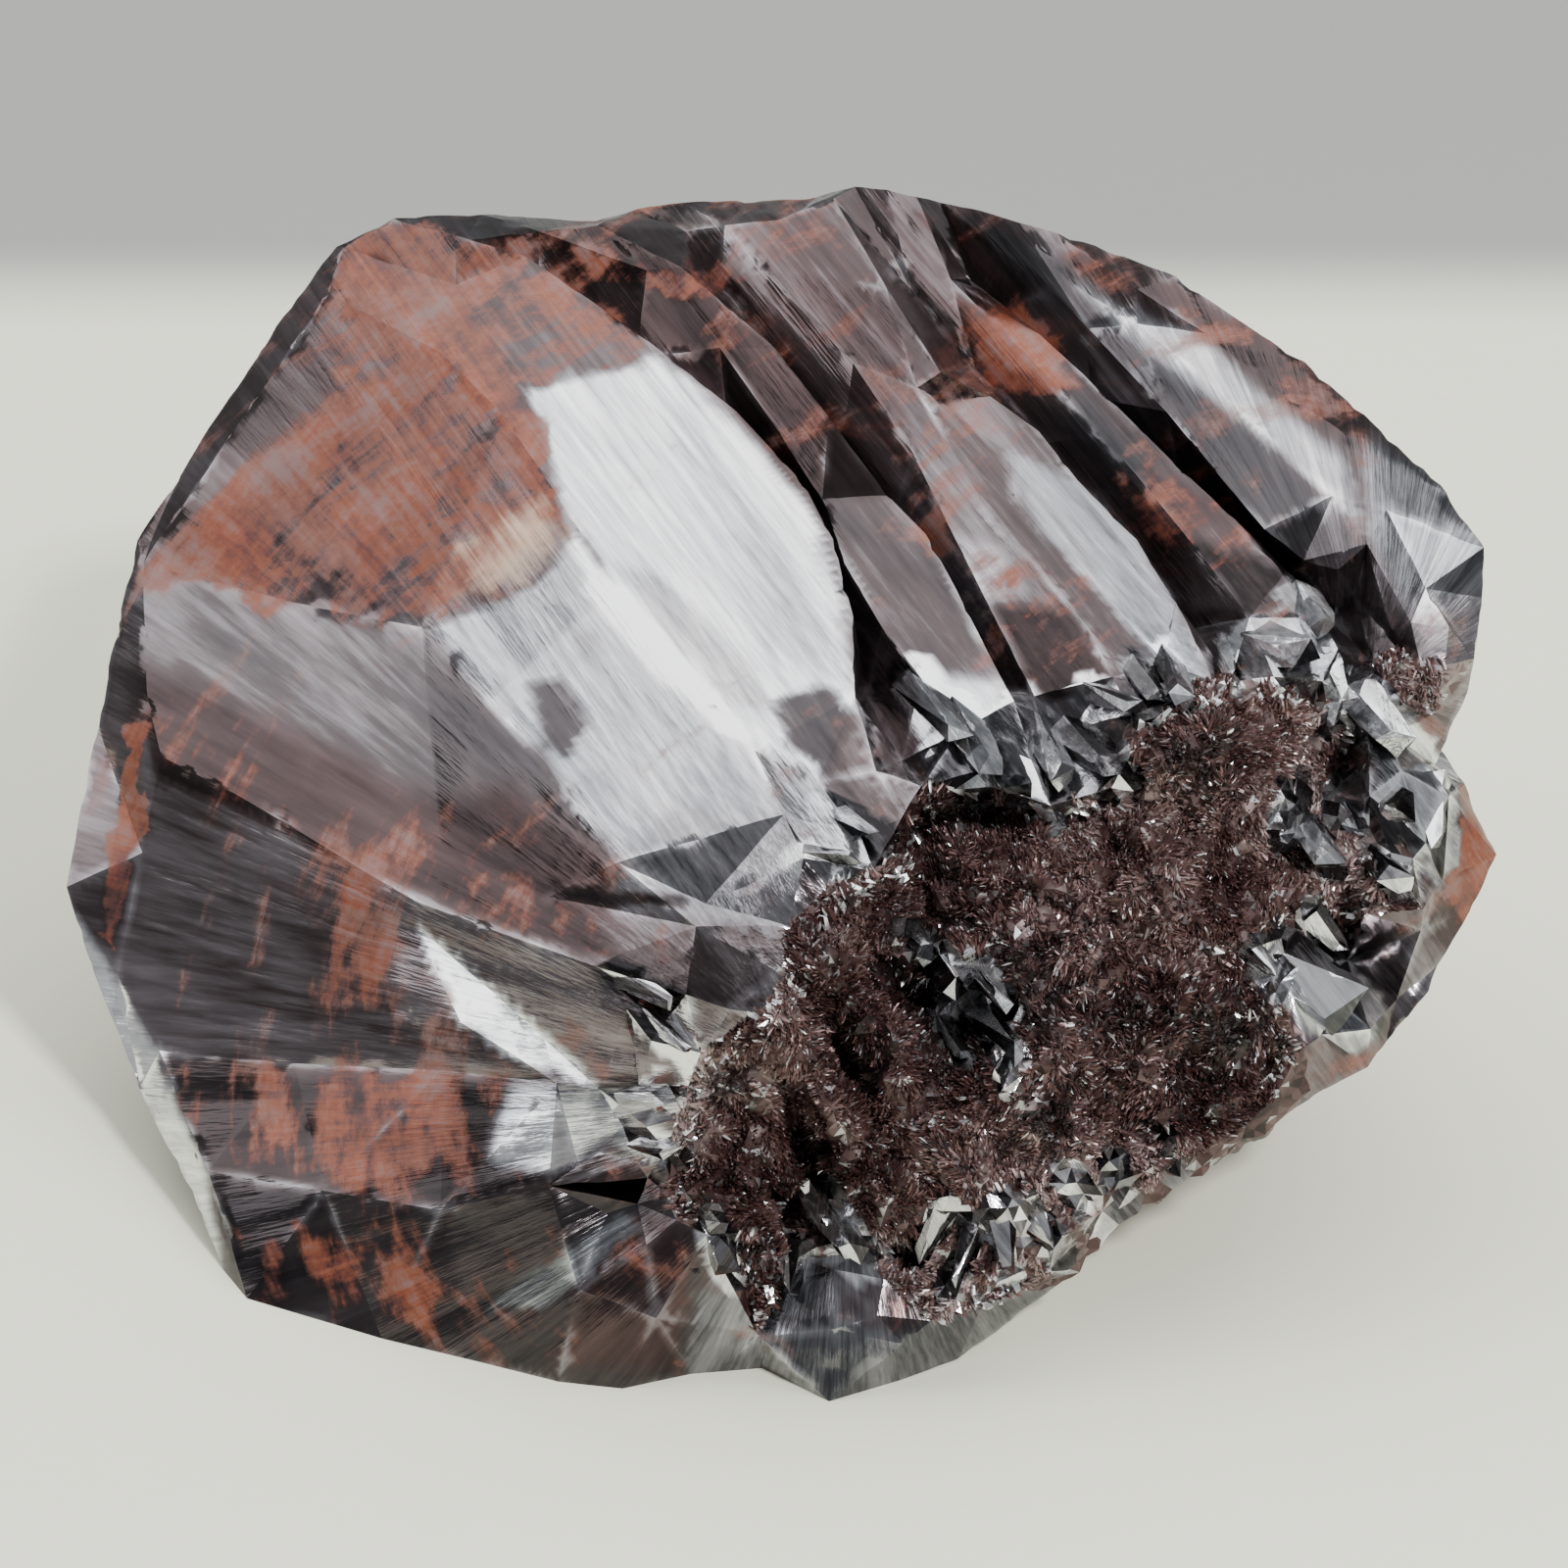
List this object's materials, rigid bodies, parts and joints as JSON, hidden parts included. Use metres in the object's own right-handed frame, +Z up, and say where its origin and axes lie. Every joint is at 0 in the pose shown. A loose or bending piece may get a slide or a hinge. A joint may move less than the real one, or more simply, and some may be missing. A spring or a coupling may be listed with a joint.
{
  "type": "needle ore hematite",
  "caption": "Hand-sized natural nodule of fibrous hematite: flat mirror-bright blades fan out from a rough broken core at one end, and it rests on a flat base.",
  "frame": {"origin": "middle of the stone's bounding box at floor height", "axes": "+Z up from the resting face; -Y towards the broken core at the front; +X to the right of someone who faces the core"},
  "size_m": [0.0432, 0.0372, 0.0235],
  "materials": {
    "hematite": "metallic grey iron ore with a mirror polish on its split faces, brick-red oxide stains, and a dull maroon broken core"
  },
  "bodies": {
    "root": {"hematite": "hematite"}
  },
  "joints": []
}
